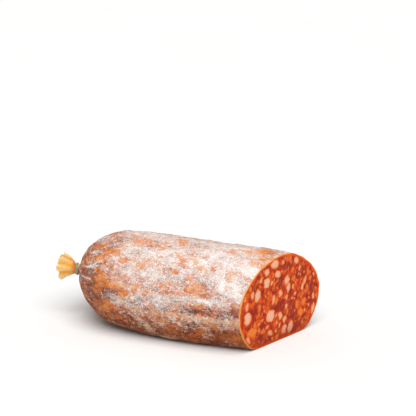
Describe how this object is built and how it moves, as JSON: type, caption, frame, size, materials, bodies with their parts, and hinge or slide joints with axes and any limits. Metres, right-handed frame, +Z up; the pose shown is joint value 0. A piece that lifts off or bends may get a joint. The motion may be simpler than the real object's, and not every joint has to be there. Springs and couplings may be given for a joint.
{
  "type": "cured sausage",
  "caption": "Large mould-ripened cured sausage, cut across on the slant, its other end gathered, tied with string and finished by a pleated tail of dry casing.",
  "frame": {"origin": "bottom centre of the bounding box, on the surface that the sausage lies on", "axes": "+X along the sausage towards the cut, +Y across it towards the side where the cut reaches further, +Z up"},
  "size_m": [0.2844, 0.1206, 0.0991],
  "materials": {
    "cured_meat": "dry casing with a bloom of warm white mould over orange and red-brown meat, and a slightly moist cut face of deep red lean, orange fat and pinkish cream fat",
    "string": "twisted grey-green string"
  },
  "bodies": {
    "root": {"sausage": "cured_meat", "tie": "string"}
  },
  "joints": []
}
